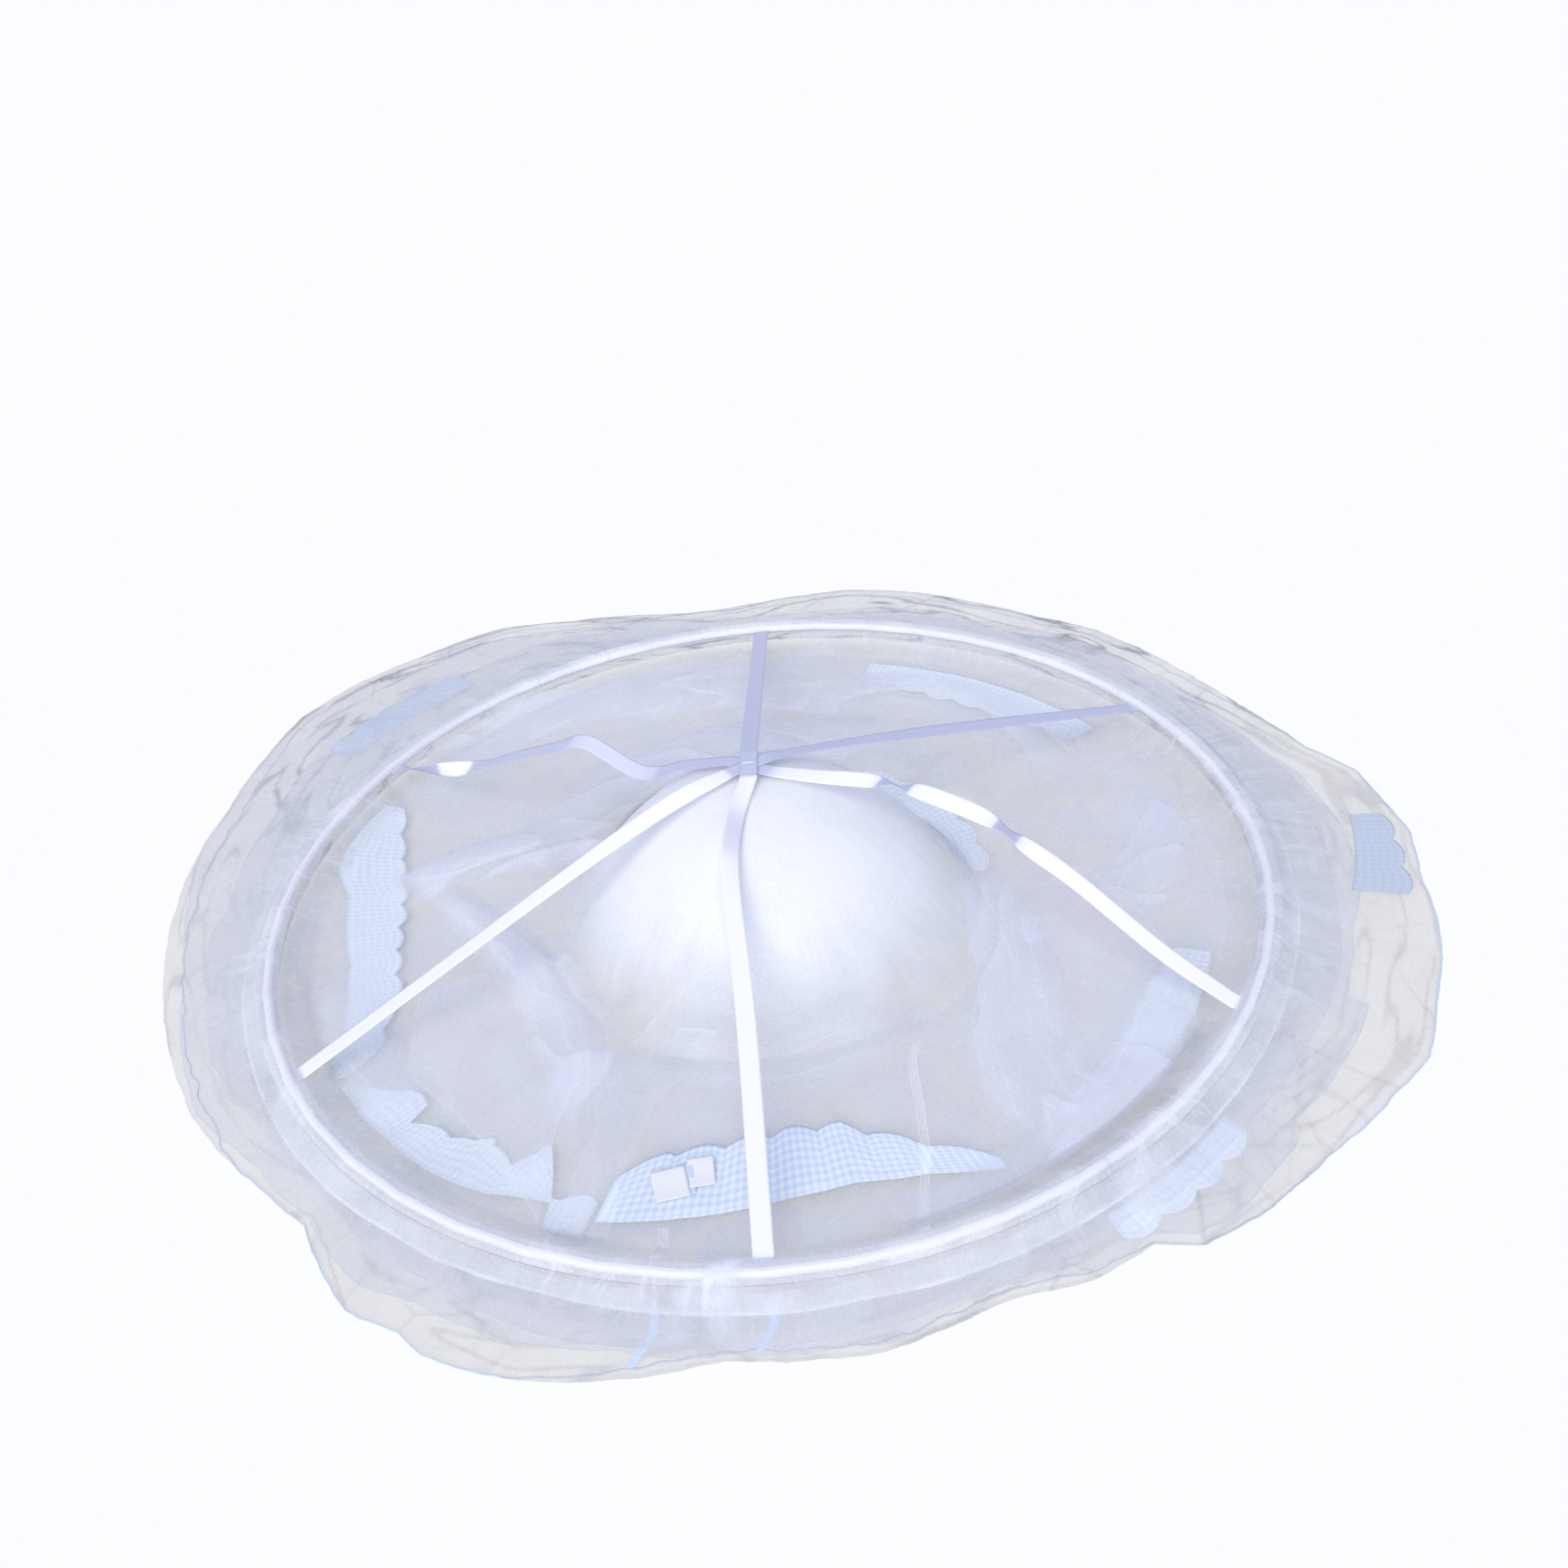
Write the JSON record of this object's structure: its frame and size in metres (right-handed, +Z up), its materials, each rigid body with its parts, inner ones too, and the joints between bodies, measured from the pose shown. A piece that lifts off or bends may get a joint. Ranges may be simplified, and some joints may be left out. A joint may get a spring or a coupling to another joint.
{
  "type": "hanging bed net",
  "caption": "Hooped mosquito net with six ribbon arms, a roof net, gingham-hemmed frills and a bound curtain, lowered with its hoop on the gathered net.",
  "frame": {"origin": "on the hoop's axis, at the floor that the lowered net lies on", "axes": "+Z up along the hoop's axis, -Y towards the front, where the door edges meet, +X to the right seen from the front"},
  "size_m": [1.512, 1.4048, 0.1948],
  "materials": {
    "net": "fine polyester net",
    "bunched_net": "fine polyester net in many folds",
    "casing": "white cloth casing",
    "ribbon": "satin ribbon",
    "gingham": "pale blue gingham",
    "binding": "pale blue bias binding",
    "hoop_tube": "white coated steel tube",
    "joiner_plastic": "moulded plastic",
    "label": "white satin label, blank",
    "thread": "white sewing thread"
  },
  "bodies": {
    "floor_net": {"net_heap": "bunched_net", "curtain_left": "net", "curtain_right": "net", "curtain_back": "net", "hem_binding_left": "binding", "hem_binding_right": "binding", "hem_binding_back": "binding", "door_binding_left": "binding", "door_binding_right": "binding"},
    "hoop": {"hoop_tube_1": "hoop_tube", "hoop_tube_2": "hoop_tube", "hoop_tube_3": "hoop_tube", "hoop_tube_4": "hoop_tube", "hoop_joiner_1": "joiner_plastic", "hoop_joiner_2": "joiner_plastic", "hoop_joiner_3": "joiner_plastic", "hoop_joiner_4": "joiner_plastic", "hoop_sleeve": "casing", "roof_crown": "net", "roof_panel_back": "net", "roof_panel_front": "net", "roof_panel_right": "net", "frill_left": "net", "frill_front_left": "net", "frill_gather": "net", "frill_front": "net", "frill_front_right": "net", "frill_side_right": "net", "frill_right": "net", "frill_back_right": "net", "frill_back_left": "net", "gingham_left": "gingham", "gingham_front_left": "gingham", "gingham_front": "gingham", "gingham_front_right": "gingham", "gingham_side_right": "gingham", "gingham_right": "gingham", "gingham_back_right": "gingham", "gingham_back_left": "gingham", "gingham_heap": "gingham", "seam_tape_front": "casing", "seam_tape_label": "casing", "care_label_large": "label", "care_label_small": "label", "ribbon_back_left": "ribbon", "ribbon_back_right": "ribbon", "ribbon_front": "ribbon"},
    "hub": {"hub_patch": "ribbon", "hub_stitch": "thread"}
  },
  "joints": [
    {"name": "hoist", "type": "slide", "parent": "floor_net", "child": "hoop", "axis": [0, 0, 1], "range_m": [0, 1.8], "deforming": ["curtain_left", "curtain_right", "curtain_back", "door_binding_left", "door_binding_right"]},
    {"name": "hub_lift", "type": "slide", "parent": "hoop", "child": "hub", "axis": [0, 0, 1], "range_m": [0, 0.03], "deforming": ["ribbon_back_left", "ribbon_back_right", "ribbon_front"]}
  ]
}
